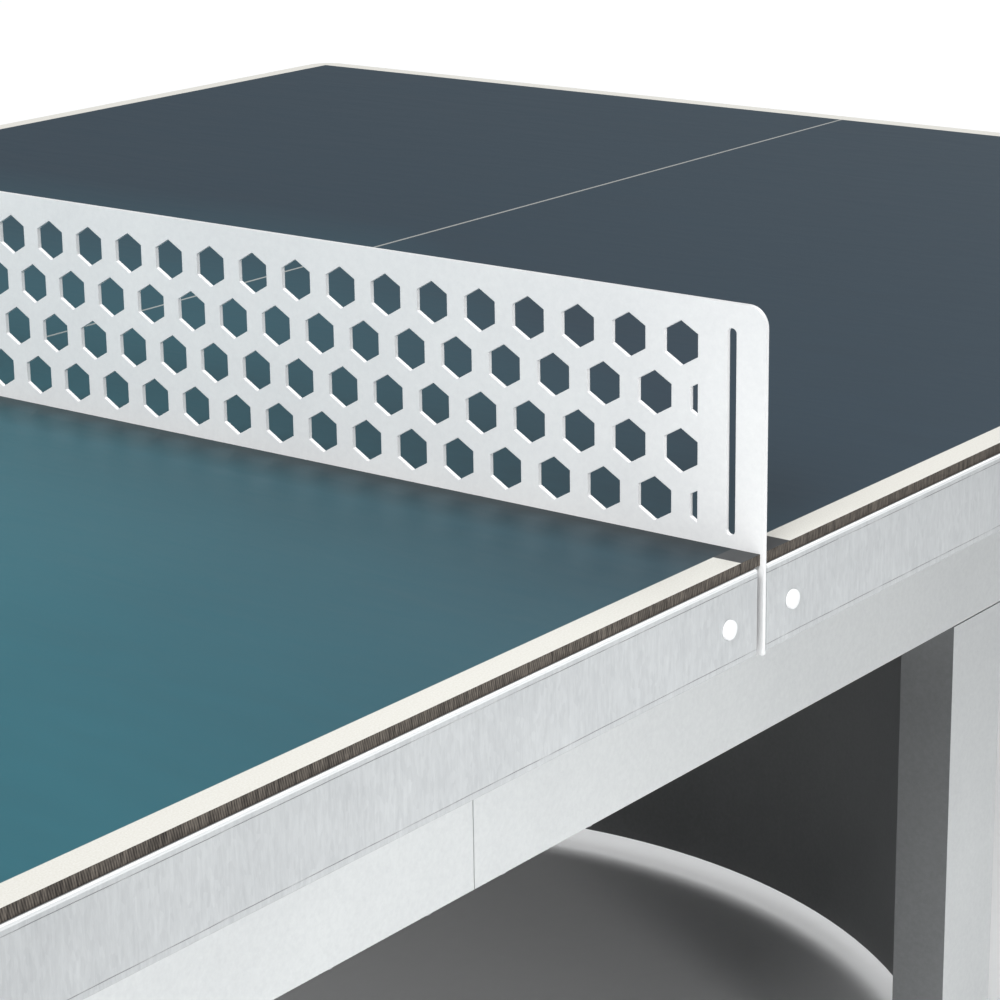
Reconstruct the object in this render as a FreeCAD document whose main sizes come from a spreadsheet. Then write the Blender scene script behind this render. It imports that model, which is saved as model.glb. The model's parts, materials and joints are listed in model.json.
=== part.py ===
import FreeCAD, Part
import Sketcher
import math
import os

# Outdoor ping pong table: two laminate halves on galvanised aprons, a perforated steel net plate
# clamped between them, and a sheet-steel base of flat fascias, box posts and curved end walls.
# Millimetres.  X runs along the table, Y along the net, Z up.  The origin is on the floor, under
# the middle of the net.  near is the -Y side, far the +Y side, left the -X half, right the +X half.

SIZES = {
    # playing top
    "table_length": 2740.0,
    "table_width": 1525.0,
    "surface_height": 760.0,
    "top_thick": 7.0,
    # galvanised apron under the edge of the top
    "apron_height": 55.0,
    "apron_proud": 3.0,
    "apron_sheet": 2.0,
    "apron_flange": 25.0,
    "corner_throat": 5.0,
    "bend_low": 1.0,
    "bend_high": 1.8,
    # tubes across the table under the top
    "rail_width": 50.0,
    "beam_width": 40.0,
    "tube_wall": 2.5,
    "rail_end_plate": 10.0,
    "inner_beam_at": 300.0,
    "outer_beam_past_post": 34.0,
    "end_beam_at": 960.0,
    # net plate and the joint between the halves
    "net_thick": 3.0,
    "net_height": 152.5,
    "net_inset": 0.5,
    "net_tab_below": 2.5,
    "skirt_clearance": 1.0,
    "net_corner": 13.0,
    "net_gap_left": 4.0,
    "net_gap_right": 0.5,
    "top_gap_left": 0.2,
    "top_gap_right": 0.5,
    "apron_gap_left": 7.6,
    "apron_gap_right": 0.5,
    "packer_below_top": 5.0,
    "packer_inset": 30.0,
    # perforation of the net
    "hex_flat": 24.6,
    "hex_pitch": 38.45,
    "hex_row": 33.65,
    "hex_low": 22.0,
    "hex_top_margin": 14.0,
    "hex_margin": 48.3,
    "slot_width": 6.5,
    "slot_low": 8.0,
    "slot_top_margin": 15.5,
    "slot_inset": 24.1,
    "slot_end_flat": 0.1,
    # round-headed bolts through the aprons into the net rails
    "cap_left_at": 35.8,
    "cap_right_at": 27.0,
    "cap_height": 26.0,
    "cap_radius": 6.2,
    "cap_thick": 3.5,
    "cap_shank": 4.0,
    "cap_shank_past": 1.0,
    "hole_clearance": 0.5,
    # long bolts along X that clamp both rails on the net plate
    "clamp_spread": 400.0,
    "clamp_shank": 5.0,
    "clamp_head": 9.0,
    "clamp_head_thick": 6.0,
    # base
    "base_half_width": 537.0,
    "base_low": 21.0,
    "fascia_low": 480.0,
    "fascia_sheet": 3.0,
    "fascia_top_flange": 40.0,
    "fascia_low_flange": 30.0,
    "fascia_seam": 0.5,
    "fascia_notch_gap": 0.5,
    "post_inner_at": 656.0,
    "post_width": 84.0,
    "post_depth": 50.0,
    "post_wall": 2.5,
    "post_seam": 0.6,
    "wall_bulge": 267.55,
    "wall_lap": 3.55,
    "wall_sheet": 3.0,
    # splice of the two fascias, bolted up through the lower flanges
    "splice_half_length": 170.0,
    "splice_width": 27.0,
    "splice_thick": 4.0,
    "splice_bolt_near": 41.0,
    "splice_bolt_end": 28.0,
    "splice_bolt_in": 11.0,
    "splice_clearance": 0.5,
    "bolt_shank": 4.0,
    "bolt_head": 6.5,
    "bolt_head_thick": 5.3,
    "bolt_nut_thick": 6.5,
    # ground-anchor brackets on the posts
    "anchor_sheet": 5.0,
    "anchor_reach": 60.0,
    "anchor_rise": 50.0,
    "anchor_hole_in": 36.0,
    "anchor_hole": 6.5,
    # levelling feet
    "pad_radius": 17.0,
    "shoe_clearance": 1.0,
    "shoe_plug": 18.0,
    "pad_thick": 10.0,
    "pad_lift": 0.4,
    "stem_radius": 6.0,
    "stem_length": 80.0,
    "stem_seat": 4.0,
    "stem_clearance": 0.06,
    "nut_plate_gap": 3.0,
    "nut_plate_thick": 6.0,
    "nut_radius": 12.0,
    "nut_height": 14.0,
    "post_slack": 0.2,
    "stem_slot_width": 1.5,
    "stem_slot_depth": 3.0,
    # how far a cutting shape runs past what it cuts
    "cut_past": 2.0,
}

NEAR, FAR = -1, 1
LEFT, RIGHT = -1, 1
Y_NAME = {NEAR: "near", FAR: "far"}
X_NAME = {LEFT: "left", RIGHT: "right"}

doc = FreeCAD.newDocument("ping_pong_table")
sheet = doc.addObject("Spreadsheet::Sheet", "sizes")
for row, (name, value) in enumerate(SIZES.items(), start=1):
    sheet.set(f"A{row}", name)
    sheet.set(f"B{row}", str(value))
    sheet.setAlias(f"B{row}", name)
doc.recompute()


class Size:
    """A length with its present value and the spreadsheet expression that gives it."""

    def __init__(self, value, text):
        self.value = float(value)
        self.text = text

    def __add__(self, other):
        other = size(other)
        return Size(self.value + other.value, f"({self.text} + {other.text})")

    def __sub__(self, other):
        other = size(other)
        return Size(self.value - other.value, f"({self.text} - {other.text})")

    def __mul__(self, other):
        other = size(other)
        return Size(self.value * other.value, f"({self.text} * {other.text})")

    def __truediv__(self, other):
        other = size(other)
        return Size(self.value / other.value, f"({self.text} / {other.text})")

    def __neg__(self):
        return Size(-self.value, f"(0 - {self.text})")

    def floor(self):
        return Size(math.floor(self.value), f"floor({self.text})")


def size(given):
    """A Size from a spreadsheet alias, a number or a Size."""
    if isinstance(given, Size):
        return given
    if isinstance(given, str):
        return Size(SIZES[given], f"sizes.{given}")
    return Size(given, repr(float(given)))


def bind(thing, prop, given):
    thing.setExpression(prop, size(given).text)


def put(thing, label, x=0, y=0, z=0):
    """Give an object its Label and bind its Placement."""
    thing.Label = label
    for axis, given in zip("xyz", (x, y, z)):
        bind(thing, f"Placement.Base.{axis}", given)
    return thing


def block(label, low, high):
    """A box between two corners."""
    thing = doc.addObject("Part::Box", label)
    for prop, a, b in zip(("Length", "Width", "Height"), low, high):
        bind(thing, prop, size(b) - a)
    return put(thing, label, *low)


def rod(label, radius, length, base, direction=FreeCAD.Vector(0, 0, 1)):
    """A cylinder from its base centre along a direction."""
    thing = doc.addObject("Part::Cylinder", label)
    bind(thing, "Radius", radius)
    bind(thing, "Height", length)
    turn = FreeCAD.Rotation(FreeCAD.Vector(0, 0, 1), direction)
    thing.Placement = FreeCAD.Placement(FreeCAD.Vector(), turn)
    return put(thing, label, *base)


def drill(label, radius, depth, entry, direction=FreeCAD.Vector(0, 0, 1)):
    """A hole cutter that goes a depth in from its entry point and runs past at both ends."""
    past = size("cut_past")
    base = [size(at) - past * step for at, step in zip(entry, direction)]
    return rod(label, radius, size(depth) + past * 2, base, direction)


def hexagon_bar(label, radius, length, base, direction=FreeCAD.Vector(0, 0, 1)):
    """A six-sided bolt head or nut from its base centre along a direction."""
    thing = doc.addObject("Part::Prism", label)
    thing.Polygon = 6
    bind(thing, "Circumradius", radius)
    bind(thing, "Height", length)
    turn = FreeCAD.Rotation(FreeCAD.Vector(0, 0, 1), direction)
    thing.Placement = FreeCAD.Placement(FreeCAD.Vector(), turn)
    return put(thing, label, *base)


def cut(label, base, *tools):
    """base with every tool taken away; the result carries the label."""
    tool = tools[0]
    if len(tools) > 1:
        tool = doc.addObject("Part::MultiFuse", label + "_tools")
        tool.Shapes = list(tools)
    thing = doc.addObject("Part::Cut", label)
    thing.Base = base
    thing.Tool = tool
    thing.Label = label
    return thing


def join(label, *pieces):
    thing = doc.addObject("Part::MultiFuse", label)
    thing.Shapes = list(pieces)
    thing.Label = label
    return thing


def group(label, *pieces):
    """Separate solids that share one node."""
    thing = doc.addObject("Part::Compound", label)
    thing.Links = list(pieces)
    thing.Label = label
    return thing


def overlap(label, first, second):
    thing = doc.addObject("Part::Common", label)
    thing.Base = first
    thing.Tool = second
    thing.Label = label
    return thing


def origin_plane(body, role):
    return next(f for f in body.Origin.OriginFeatures if f.Role == role)


def new_sketch(body, role):
    sketch = body.newObject("Sketcher::SketchObject", body.Name + "_sketch")
    sketch.AttachmentSupport = [(origin_plane(body, role), "")]
    sketch.MapMode = "FlatFace"
    return sketch


def pin_point(sketch, geometry, point, x, y):
    """Hold one end of an edge at bound coordinates."""
    for kind, given in (("DistanceX", x), ("DistanceY", y)):
        given = size(given)
        index = sketch.addConstraint(Sketcher.Constraint(kind, -1, 1, geometry, point, given.value))
        sketch.setExpression(f"Constraints[{index}]", given.text)


def outline(sketch, corners):
    """A closed outline.  A corner is (x, y) or, where right-angled and round, (x, y, radius)."""
    stops = []
    count = len(corners)
    for i, corner in enumerate(corners):
        x, y = size(corner[0]), size(corner[1])
        if len(corner) == 2:
            stops.append((x, y, None))
            continue
        radius = size(corner[2])
        for other in (corners[i - 1], corners[(i + 1) % count]):
            step_x = size(other[0]).value - x.value
            step_y = size(other[1]).value - y.value
            along_x = math.copysign(1, step_x) if abs(step_x) > 1e-9 else 0
            along_y = math.copysign(1, step_y) if abs(step_y) > 1e-9 else 0
            is_entry = other is corners[i - 1]
            stops.append((x + radius * along_x, y + radius * along_y, (x, y, radius) if is_entry else None))
    lines = []
    for i, (x, y, bend) in enumerate(stops):
        to_x, to_y, _ = stops[(i + 1) % len(stops)]
        start = FreeCAD.Vector(x.value, y.value, 0)
        end = FreeCAD.Vector(to_x.value, to_y.value, 0)
        if bend is None:
            lines.append((sketch.addGeometry(Part.LineSegment(start, end)), 1, 2))
            continue
        corner = FreeCAD.Vector(bend[0].value, bend[1].value, 0)
        centre = start + end - corner
        turns_left = (start - centre).cross(end - centre).z > 0
        begin, finish = (start, end) if turns_left else (end, start)
        angles = [math.atan2(stop.y - centre.y, stop.x - centre.x) for stop in (begin, finish)]
        circle = Part.Circle(centre, FreeCAD.Vector(0, 0, 1), bend[2].value)
        edge = sketch.addGeometry(Part.ArcOfCircle(circle, *angles))
        lines.append((edge, 1, 2) if turns_left else (edge, 2, 1))
        index = sketch.addConstraint(Sketcher.Constraint("Radius", edge, bend[2].value))
        sketch.setExpression(f"Constraints[{index}]", bend[2].text)
    for i, (edge, first, last) in enumerate(lines):
        following, next_first, _ = lines[(i + 1) % len(lines)]
        sketch.addConstraint(Sketcher.Constraint("Coincident", edge, last, following, next_first))
        pin_point(sketch, edge, first, stops[i][0], stops[i][1])


def padded(label, role, corners, length):
    """A body with one outline padded off an origin plane."""
    body = doc.addObject("PartDesign::Body", label)
    body.Label = label
    sketch = new_sketch(body, role)
    outline(sketch, corners)
    pad = body.newObject("PartDesign::Pad", label + "_pad")
    pad.Profile = sketch
    pad.Length = size(length).value
    bind(pad, "Length", length)
    sketch.Visibility = False
    return body


def add_pocket(body, role, outlines, name):
    """Cut outlines right through a body that lies on the plane's positive side."""
    sketch = new_sketch(body, role)
    for corners in outlines:
        outline(sketch, corners)
    pocket = body.newObject("PartDesign::Pocket", name)
    pocket.Profile = sketch
    pocket.Type = 1
    pocket.Reversed = True
    return pocket


# --- places that several pieces share -------------------------------------------------------

half_length = size("table_length") / 2
half_width = size("table_width") / 2
panel_low = size("surface_height") - "top_thick"
apron_low = panel_low - "apron_height"
apron_face_x = half_length + "apron_proud"
apron_face_y = half_width + "apron_proud"
net_half_thick = size("net_thick") / 2
half_start = {LEFT: net_half_thick + "net_gap_left", RIGHT: net_half_thick + "net_gap_right"}
top_start = {LEFT: net_half_thick + "top_gap_left", RIGHT: net_half_thick + "top_gap_right"}
apron_start = {LEFT: net_half_thick + "apron_gap_left", RIGHT: net_half_thick + "apron_gap_right"}
flange_tip_y = apron_face_y - "apron_flange"
corner_radius = size("apron_flange") + "corner_throat"
half_net = apron_face_y - "net_inset"
post_outer_at = size("post_inner_at") + "post_width"
bolted_beams = (("inner", size("inner_beam_at")), ("outer", size("post_inner_at") + "outer_beam_past_post"))
post_back_y = size("base_half_width") - "post_depth"
fascia_inner_y = size("base_half_width") - "fascia_sheet"
fascia_top = apron_low
base_bolt_y = size("base_half_width") - size("fascia_top_flange") / 2
splice_bolt_y = size("base_half_width") - "splice_bolt_in"
splice_bolt_far = size("splice_half_length") - "splice_bolt_end"
nut_plate_low = size("base_low") + "shoe_plug" + "nut_plate_gap"
foot_x = size("post_inner_at") + size("post_width") / 2
foot_y = size("base_half_width") - size("post_depth") / 2


def span(side, a, b):
    """Low and high of a range that is mirrored to the given side."""
    a, b = size(a), size(b)
    return (a, b) if side > 0 else (-b, -a)


def made_tabletop(side):
    """One laminate half, square at the net and rounded at its outer corners."""
    inner, outer = top_start[side] * side, half_length * side
    corner = corner_radius - "apron_proud"
    corners = [(inner, -half_width), (outer, -half_width, corner),
               (outer, half_width, corner), (inner, half_width)]
    body = padded(f"tabletop_{X_NAME[side]}", "XY_Plane", corners, "top_thick")
    return put(body, body.Label, z=panel_low)


def channel_corners(face, inward, low, high, thick, low_flange, high_flange):
    """Outline of a sheet channel: a web at face, flanges that run inward."""
    web = face + size(thick) * inward
    low_tip = face + size(low_flange) * inward
    high_tip = face + size(high_flange) * inward
    low_in, high_in = size(low) + thick, size(high) - thick
    return [(face, low, "bend_low"), (low_tip, low), (low_tip, low_in), (web, low_in), (web, high_in),
            (high_tip, high_in), (high_tip, high), (face, high, "bend_high")]


def made_apron_side(x_side, y_side):
    """A straight apron channel along X, with the hole of its net bolt."""
    start, end = apron_start[x_side], apron_face_x - corner_radius
    corners = channel_corners(apron_face_y * y_side, -y_side, apron_low, panel_low,
                              "apron_sheet", "apron_flange", "apron_flange")
    low, _ = span(x_side, start, end)
    name = f"apron_side_{Y_NAME[y_side]}_{X_NAME[x_side]}"
    channel = padded(name + "_channel", "YZ_Plane", corners, end - start)
    put(channel, name + "_channel", x=low)
    hole = drill(name + "_hole", size("cap_shank") + "hole_clearance", "apron_sheet",
                 (cap_x(x_side), apron_face_y * y_side, apron_low + "cap_height"),
                 FreeCAD.Vector(0, -y_side, 0))
    return cut(name, channel, hole)


def cap_x(x_side):
    across = {LEFT: "cap_left_at", RIGHT: "cap_right_at"}[x_side]
    return (half_start[x_side] + across) * x_side


def made_apron_end(x_side):
    """The apron channel along Y at one end of the table."""
    corners = channel_corners(apron_face_x * x_side, -x_side, apron_low, panel_low,
                              "apron_sheet", "apron_flange", "apron_flange")
    reach = apron_face_y - corner_radius
    body = padded(f"apron_end_{X_NAME[x_side]}", "XZ_Plane", corners, reach * 2)
    return put(body, body.Label, y=reach)


def made_apron_corner(x_side, y_side):
    """A quarter-round channel that joins a side apron to an end apron."""
    name = f"apron_corner_{Y_NAME[y_side]}_{X_NAME[x_side]}"
    centre_x = (apron_face_x - corner_radius) * x_side
    centre_y = (apron_face_y - corner_radius) * y_side
    quarter_turns = {(RIGHT, FAR): 0, (LEFT, FAR): 90, (LEFT, NEAR): 180, (RIGHT, NEAR): 270}
    turn = FreeCAD.Rotation(FreeCAD.Vector(0, 0, 1), quarter_turns[(x_side, y_side)])

    def quarter(part, radius, low, high, angle):
        thing = doc.addObject("Part::Cylinder", name + part)
        bind(thing, "Radius", radius)
        bind(thing, "Height", high - low)
        thing.Angle = angle
        thing.Placement = FreeCAD.Placement(FreeCAD.Vector(), turn)
        return put(thing, name + part, centre_x, centre_y, low)

    outer = quarter("_outer", corner_radius, apron_low, panel_low, 90)
    hollow = quarter("_hollow", corner_radius - "apron_sheet",
                     apron_low + "apron_sheet", panel_low - "apron_sheet", 360)
    throat = quarter("_throat", "corner_throat", apron_low, panel_low, 360)
    return cut(name, outer, hollow, throat)


def made_net_rail(side):
    """The closed box rail beside the net plate, drilled for its end bolts and clamp bolts."""
    name = f"net_rail_{X_NAME[side]}"
    start = half_start[side]
    low_x, high_x = span(side, start, start + "rail_width")
    tube = block(name + "_tube", (low_x, -flange_tip_y, apron_low), (high_x, flange_tip_y, panel_low))
    in_x = span(side, start + "tube_wall", start + "rail_width" - "tube_wall")
    in_y = flange_tip_y - "rail_end_plate"
    hollow = block(name + "_hollow", (in_x[0], -in_y, apron_low + "tube_wall"),
                   (in_x[1], in_y, panel_low - "tube_wall"))
    tools = [hollow]
    for y_side in (NEAR, FAR):
        tools.append(drill(f"{name}_thread_{Y_NAME[y_side]}", size("cap_shank") + "stem_clearance",
                           "rail_end_plate", (cap_x(side), flange_tip_y * y_side, apron_low + "cap_height"),
                           FreeCAD.Vector(0, -y_side, 0)))
    for index, y in enumerate(clamp_places()):
        tools.append(drill(f"{name}_clamp_hole_{index}", size("clamp_shank") + "hole_clearance",
                           "rail_width", (start * side, y, apron_low + "cap_height"),
                           FreeCAD.Vector(side, 0, 0)))
    return cut(name, tube, *tools)


def clamp_places():
    return (-size("clamp_spread"), size(0), size("clamp_spread"))


def made_net_packer():
    """The strip that fills the gap between the left rail and the net plate."""
    reach = flange_tip_y - "packer_inset"
    low_x, high_x = span(LEFT, net_half_thick, half_start[LEFT])
    strip = block("net_packer_strip", (low_x, -reach, apron_low),
                  (high_x, reach, panel_low - "packer_below_top"))
    holes = [drill(f"net_packer_hole_{i}", size("clamp_shank") + "hole_clearance", "net_gap_left",
                   (low_x, y, apron_low + "cap_height"), FreeCAD.Vector(1, 0, 0))
             for i, y in enumerate(clamp_places())]
    return cut("net_packer", strip, *holes)


def made_clamp_bolts():
    """Long bolts with nuts that squeeze both net rails onto the plate."""
    along = FreeCAD.Vector(1, 0, 0)
    high = apron_low + "cap_height"
    left_face = -(half_start[LEFT] + "rail_width")
    right_face = half_start[RIGHT] + "rail_width"
    bolts = []
    for i, y in enumerate(clamp_places()):
        head = hexagon_bar(f"clamp_head_{i}", "clamp_head", "clamp_head_thick",
                           (left_face - "clamp_head_thick", y, high), along)
        shank = rod(f"clamp_shank_{i}", "clamp_shank", right_face - left_face + "clamp_head_thick",
                    (left_face, y, high), along)
        nut = hexagon_bar(f"clamp_nut_{i}", "clamp_head", "clamp_head_thick", (right_face, y, high), along)
        bolts.append(join(f"clamp_bolt_{i}", head, shank, nut))
    return group("net_clamp_bolts", *bolts)


def made_net_cap_bolts(y_side):
    """The round-headed bolts of one side, through the aprons into the rail ends."""
    inward = FreeCAD.Vector(0, -y_side, 0)
    high = apron_low + "cap_height"
    length = size("apron_flange") + "rail_end_plate" + "cap_shank_past"
    bolts = []
    for x_side in (LEFT, RIGHT):
        name = f"cap_{Y_NAME[y_side]}_{X_NAME[x_side]}"
        face = apron_face_y * y_side
        head = rod(name + "_head", "cap_radius", "cap_thick",
                   (cap_x(x_side), face + size("cap_thick") * y_side, high), inward)
        shank = rod(name + "_shank", "cap_shank", length, (cap_x(x_side), face, high), inward)
        bolts.append(join(name + "_bolt", head, shank))
    return group(f"apron_bolts_{Y_NAME[y_side]}", *bolts)


def hexagon(centre_y, centre_z):
    """A hexagon with two upright flats."""
    point = size("hex_flat") / math.sqrt(3)
    low_y, high_y = centre_y - size("hex_flat") / 2, centre_y + size("hex_flat") / 2
    low_z, high_z = centre_z - point / 2, centre_z + point / 2
    return [(high_y, low_z), (high_y, high_z), (centre_y, centre_z + point),
            (low_y, high_z), (low_y, low_z), (centre_y, centre_z - point)]


def made_field_ends(starts, rows, columns, field_edge):
    """The hexagons next past both ends of every row, cut short at the field's edges."""
    along = FreeCAD.Vector(1, 0, 0)
    past = net_half_thick + "cut_past"
    bars = []
    point = size("hex_flat") / math.sqrt(3)
    for i, (start, height) in enumerate(zip(starts, rows)):
        for end, step in ((Y_NAME[NEAR], size(-1)), (Y_NAME[FAR], columns)):
            y = start + size("hex_pitch") * step
            bars.append(hexagon_bar(f"net_plate_bar_{i}_{end}", point, past * 2, (-past, y, height), along))
    field = block("net_plate_field", (-past, -field_edge, size("surface_height")),
                  (past, field_edge, size("surface_height") + "net_height"))
    return overlap("net_plate_field_ends", group("net_plate_bars", *bars), field)


def made_net_plate():
    """The perforated steel net: its ends drop past the aprons, its skirt sits between the rails."""
    net_top = size("surface_height") + "net_height"
    tab_low = apron_low - "net_tab_below"
    tab_inner = flange_tip_y + "skirt_clearance"
    skirt_low = apron_low + "skirt_clearance"
    corners = [(-half_net, tab_low), (-tab_inner, tab_low), (-tab_inner, skirt_low),
               (tab_inner, skirt_low), (tab_inner, tab_low), (half_net, tab_low),
               (half_net, net_top, "net_corner"), (-half_net, net_top, "net_corner")]
    body = padded("net_plate", "YZ_Plane", corners, "net_thick")
    field_edge = half_net - "hex_margin"
    shift = size("hex_pitch") / 2
    point = size("hex_flat") / math.sqrt(3)
    columns = ((field_edge * 2 - "hex_flat" - shift) / "hex_pitch").floor() + 1
    row_room = size("net_height") - "hex_low" - point - "hex_top_margin"
    row_count = int((row_room / "hex_row").floor().value) + 1
    first = -field_edge + size("hex_flat") / 2
    rows = [size("surface_height") + "hex_low" + size("hex_row") * row for row in range(row_count)]
    starts = [first if row % 2 else first + shift for row in range(row_count)]
    holes = add_pocket(body, "YZ_Plane", [hexagon(y, z) for y, z in zip(starts, rows)], "net_plate_hexes")
    pattern = body.newObject("PartDesign::LinearPattern", "net_plate_rows")
    pattern.Originals = [holes]
    pattern.Direction = (origin_plane(body, "Y_Axis"), [""])
    bind(pattern, "Length", size("hex_pitch") * (columns - 1))
    bind(pattern, "Occurrences", columns)
    body.Tip = pattern
    slots = []
    half = size("slot_width") / 2
    rounding = half - size("slot_end_flat") / 2
    low, high = size("surface_height") + "slot_low", net_top - "slot_top_margin"
    for y_side in (NEAR, FAR):
        middle = (half_net - "slot_inset") * y_side
        slots.append([(middle - half, low, rounding), (middle + half, low, rounding),
                      (middle + half, high, rounding), (middle - half, high, rounding)])
    add_pocket(body, "YZ_Plane", slots, "net_plate_slots")
    clamp_holes = [drill(f"net_plate_clamp_hole_{i}", size("clamp_shank") + "hole_clearance", "net_thick",
                         (-net_half_thick, y, apron_low + "cap_height"), FreeCAD.Vector(1, 0, 0))
                   for i, y in enumerate(clamp_places())]
    put(body, "net_plate_sheet", x=-net_half_thick)
    return cut("net_plate", body, made_field_ends(starts, rows, columns, field_edge), *clamp_holes)


def made_cross_beam(side, where, at):
    """A box tube across the table under one half."""
    name = f"{where}_beam_{X_NAME[side]}"
    half = size("beam_width") / 2
    low_x, high_x = span(side, at - half, at + half)
    tube = block(name + "_tube", (low_x, -flange_tip_y, apron_low), (high_x, flange_tip_y, panel_low))
    wall = size("tube_wall")
    hollow = block(name + "_hollow", (low_x + wall, -flange_tip_y, apron_low + wall),
                   (high_x - wall, flange_tip_y, panel_low - wall))
    tools = [hollow]
    if where != "end":
        for y_side in (NEAR, FAR):
            tools.append(drill(f"{name}_hole_{Y_NAME[y_side]}", size("bolt_shank") + "hole_clearance", wall,
                               (at * side, base_bolt_y * y_side, apron_low)))
    return cut(name, tube, *tools)


def made_base_bolts():
    """Bolts up through the fascias' top flanges into the cross beams."""
    bolts = []
    flange_low = fascia_top - "fascia_sheet"
    grip = size("fascia_sheet") + "tube_wall" + "bolt_nut_thick"
    for side in (LEFT, RIGHT):
        for where, at in bolted_beams:
            for y_side in (NEAR, FAR):
                name = f"base_bolt_{where}_{X_NAME[side]}_{Y_NAME[y_side]}"
                place = (at * side, base_bolt_y * y_side)
                head = hexagon_bar(name + "_head", "bolt_head", "bolt_head_thick",
                                   (*place, flange_low - "bolt_head_thick"))
                shank = rod(name + "_shank", "bolt_shank", grip, (*place, flange_low))
                nut = hexagon_bar(name + "_nut", "bolt_head", "bolt_nut_thick",
                                  (*place, apron_low + "tube_wall"))
                bolts.append(join(name, head, shank, nut))
    return group("base_bolts", *bolts)


def made_fascia(x_side, y_side):
    """A side fascia: a tall sheet channel whose lower flange stops at the post."""
    name = f"side_fascia_{Y_NAME[y_side]}_{X_NAME[x_side]}"
    face = size("base_half_width") * y_side
    corners = channel_corners(face, -y_side, "fascia_low", fascia_top, "fascia_sheet",
                              "fascia_low_flange", "fascia_top_flange")
    low_x, _ = span(x_side, "fascia_seam", post_outer_at)
    sheet_body = padded(name + "_sheet", "YZ_Plane", corners, post_outer_at - "fascia_seam")
    put(sheet_body, name + "_sheet", x=low_x)
    notch_x = span(x_side, size("post_inner_at") - "fascia_notch_gap", post_outer_at + "cut_past")
    notch_y = span(y_side, fascia_inner_y - "fascia_low_flange", fascia_inner_y)
    notch = block(name + "_notch", (notch_x[0], notch_y[0], size("fascia_low") - "cut_past"),
                  (notch_x[1], notch_y[1], size("fascia_low") + "fascia_sheet"))
    radius = size("bolt_shank") + "hole_clearance"
    tools = [notch]
    for i, at in enumerate((size("splice_bolt_near"), splice_bolt_far)):
        tools.append(drill(f"{name}_splice_hole_{i}", radius, "fascia_sheet",
                           (at * x_side, splice_bolt_y * y_side, "fascia_low")))
    for where, at in bolted_beams:
        tools.append(drill(f"{name}_{where}_hole", radius, "fascia_sheet",
                           (at * x_side, base_bolt_y * y_side, fascia_top - "fascia_sheet")))
    return cut(name, sheet_body, *tools)


def made_splice_plate(y_side):
    """The strap on the lower flanges that ties the two fascias of one side."""
    name = f"splice_plate_{Y_NAME[y_side]}"
    low = size("fascia_low") + "fascia_sheet"
    web_y = fascia_inner_y - "splice_clearance"
    in_y = span(y_side, web_y - "splice_width", web_y)
    strap = block(name + "_strap", (-size("splice_half_length"), in_y[0], low),
                  (size("splice_half_length"), in_y[1], low + "splice_thick"))
    holes = [drill(f"{name}_hole_{i}", size("bolt_shank") + "hole_clearance", "splice_thick",
                   (x, splice_bolt_y * y_side, low)) for i, x in enumerate(splice_places())]
    return cut(name, strap, *holes)


def splice_places():
    near = size("splice_bolt_near")
    return (-splice_bolt_far, -near, near, splice_bolt_far)


def made_splice_bolts():
    """The bolts and nuts of both splices, heads below the flanges."""
    bolts = []
    grip = size("fascia_sheet") + "splice_thick"
    for y_side in (NEAR, FAR):
        for i, x in enumerate(splice_places()):
            name = f"splice_bolt_{Y_NAME[y_side]}_{i}"
            place = (x, splice_bolt_y * y_side)
            head = rod(name + "_head", "bolt_head", "bolt_head_thick",
                       (*place, size("fascia_low") - "bolt_head_thick"))
            shank = rod(name + "_shank", "bolt_shank", grip + "bolt_nut_thick", (*place, "fascia_low"))
            nut = hexagon_bar(name + "_nut", "bolt_head", "bolt_nut_thick",
                              (*place, size("fascia_low") + grip))
            bolts.append(join(name, head, shank, nut))
    return group("splice_bolts", *bolts)


def made_post(x_side, y_side):
    """A box-section leg.  Above the fascia's lower edge its front wall gives way to the fascia."""
    name = f"post_{Y_NAME[y_side]}_{X_NAME[x_side]}"
    out_x = span(x_side, "post_inner_at", post_outer_at)
    out_y = span(y_side, post_back_y, "base_half_width")
    top = fascia_top - "fascia_sheet"
    box = block(name + "_box", (out_x[0], out_y[0], "base_low"), (out_x[1], out_y[1], top))
    wall, past = size("post_wall"), size("cut_past")
    hollow = block(name + "_hollow", (out_x[0] + wall, out_y[0] + wall, size("base_low") - past),
                   (out_x[1] - wall, out_y[1] - wall, top + past))
    front_y = span(y_side, fascia_inner_y, size("base_half_width") + past)
    front = block(name + "_front", (out_x[0] - past, front_y[0], size("fascia_low") - "post_seam"),
                  (out_x[1] + past, front_y[1], top + past))
    return cut(name, box, hollow, front)


def made_end_wall(side):
    """The curved wall of one end, from the back of one post round to the other."""
    name = f"end_wall_{X_NAME[side]}"
    past = size("cut_past")
    radius = (post_back_y * post_back_y + size("wall_bulge") * "wall_bulge") / (size("wall_bulge") * 2)
    centre = post_outer_at - "wall_lap" + "wall_bulge" - radius
    height = fascia_top - "base_low"
    outer = rod(name + "_outer", radius + "wall_sheet", height, (centre * side, 0, "base_low"))
    inner = rod(name + "_inner", radius, height + past * 2, (centre * side, 0, size("base_low") - past))
    ring = cut(name + "_ring", outer, inner)
    keep_x = span(side, centre, centre + radius + "wall_sheet" + past)
    keep = block(name + "_keep", (keep_x[0], -post_back_y, 0), (keep_x[1], post_back_y, fascia_top + past))
    return overlap(name, ring, keep)


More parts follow.
